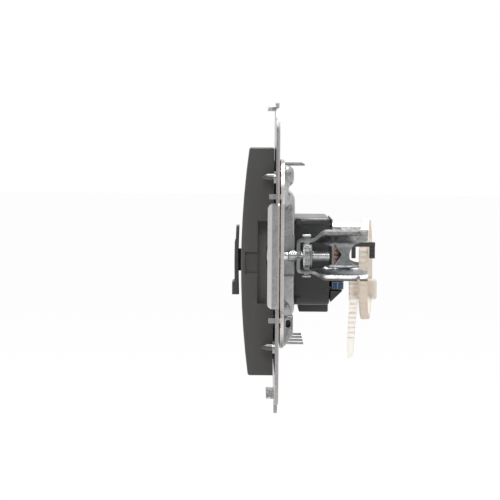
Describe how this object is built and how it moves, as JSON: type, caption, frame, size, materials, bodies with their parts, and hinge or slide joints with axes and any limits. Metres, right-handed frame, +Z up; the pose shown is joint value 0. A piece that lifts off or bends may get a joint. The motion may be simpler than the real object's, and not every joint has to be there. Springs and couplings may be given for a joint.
{
  "type": "slide dimmer insert",
  "caption": "Flush slide dimmer insert: bowed dark cover with a sliding knob on a steel mounting ring with spreading claws, and a black module housing with a cable tie behind.",
  "frame": {"origin": "centre of the mounting ring on its rear face, which lies on the wall plane", "axes": "+Z up as fitted; the front with the knob faces -Y; +X is right seen from the front"},
  "size_m": [0.071, 0.0332, 0.071],
  "materials": {
    "galvanised_steel": "galvanised, spangled",
    "zinc_plated_steel": "bright zinc plated",
    "cover_plastic": "fine-grained matt dark grey",
    "module_plastic": "satin black",
    "nylon": "translucent natural nylon",
    "release_blue": "satin blue",
    "copper": "enamelled copper",
    "ferrite": "sintered",
    "board": "solder resist",
    "track_carbon": "printed carbon",
    "brass": "stamped",
    "aluminium": "rolled",
    "film_capacitor": "dipped",
    "glass": "clear"
  },
  "bodies": {
    "frame": {"base_housing": "module_plastic", "cable_tie": "nylon", "capacitor": "film_capacitor", "carrier_plate": "module_plastic", "centre_cover": "cover_plastic", "choke_core": "ferrite", "choke_winding": "copper", "circuit_board": "board", "claw_chassis": "galvanised_steel", "fuse_cap_1": "zinc_plated_steel", "fuse_cap_2": "zinc_plated_steel", "fuse_tube": "glass", "heat_clip": "aluminium", "housing_screw_1": "zinc_plated_steel", "housing_screw_2": "zinc_plated_steel", "pot_can": "zinc_plated_steel", "pot_lead_1": "brass", "pot_lead_2": "brass", "pot_lead_3": "brass", "pot_track": "track_carbon", "rear_cover": "module_plastic", "support_ring": "galvanised_steel", "terminal_clamp_line": "brass", "terminal_clamp_load": "brass", "triac": "module_plastic"},
    "slider": {"slider_knob": "cover_plastic", "slider_carriage": "module_plastic", "wiper_contact": "brass"},
    "claw_right": {"claw_right": "galvanised_steel"},
    "claw_left": {"claw_left": "galvanised_steel"},
    "nut_right": {"claw_nut_right": "zinc_plated_steel"},
    "nut_left": {"claw_nut_left": "zinc_plated_steel"},
    "screw_right": {"claw_screw_right": "zinc_plated_steel"},
    "screw_left": {"claw_screw_left": "zinc_plated_steel"},
    "button_line": {"release_button_line": "release_blue"},
    "button_load": {"release_button_load": "release_blue"}
  },
  "joints": [
    {"name": "level_slide", "type": "slide", "parent": "frame", "child": "slider", "axis": [0, 0, 1], "range_m": [-0.01, 0.0105]},
    {"name": "claw_nut_travel_right", "type": "slide", "parent": "frame", "child": "nut_right", "axis": [0, -1, 0], "range_m": [0, 0.0009]},
    {"name": "claw_screw_turn_right", "type": "hinge", "parent": "frame", "child": "screw_right", "pos_m": [0.0245, 0, 0.0011], "axis": [0, 1, 0], "range_deg": [0, 720]},
    {"name": "claw_swing_right", "type": "hinge", "parent": "frame", "child": "claw_right", "pos_m": [0.0212, 0.00385, 0.0011], "axis": [0, 0, -1], "range_deg": [0, 14]},
    {"name": "claw_nut_travel_left", "type": "slide", "parent": "frame", "child": "nut_left", "axis": [0, -1, 0], "range_m": [0, 0.0009]},
    {"name": "claw_screw_turn_left", "type": "hinge", "parent": "frame", "child": "screw_left", "pos_m": [-0.0245, 0, 0.0011], "axis": [0, 1, 0], "range_deg": [0, 720]},
    {"name": "claw_swing_left", "type": "hinge", "parent": "frame", "child": "claw_left", "pos_m": [-0.0212, 0.00385, 0.0011], "axis": [0, 0, 1], "range_deg": [0, 14]},
    {"name": "release_press_line", "type": "slide", "parent": "frame", "child": "button_line", "axis": [0, -1, 0], "range_m": [0, 0.0008], "stiffness_N_per_m": 1500},
    {"name": "release_press_load", "type": "slide", "parent": "frame", "child": "button_load", "axis": [0, -1, 0], "range_m": [0, 0.0008], "stiffness_N_per_m": 1500}
  ],
  "couplings": [
    {"joint": "claw_screw_turn_right", "follows": "claw_nut_travel_right", "rad_per_m": 13962},
    {"joint": "claw_swing_right", "follows": "claw_nut_travel_right", "rad_per_m": 271.4},
    {"joint": "claw_screw_turn_left", "follows": "claw_nut_travel_left", "rad_per_m": 13962},
    {"joint": "claw_swing_left", "follows": "claw_nut_travel_left", "rad_per_m": 271.4}
  ]
}
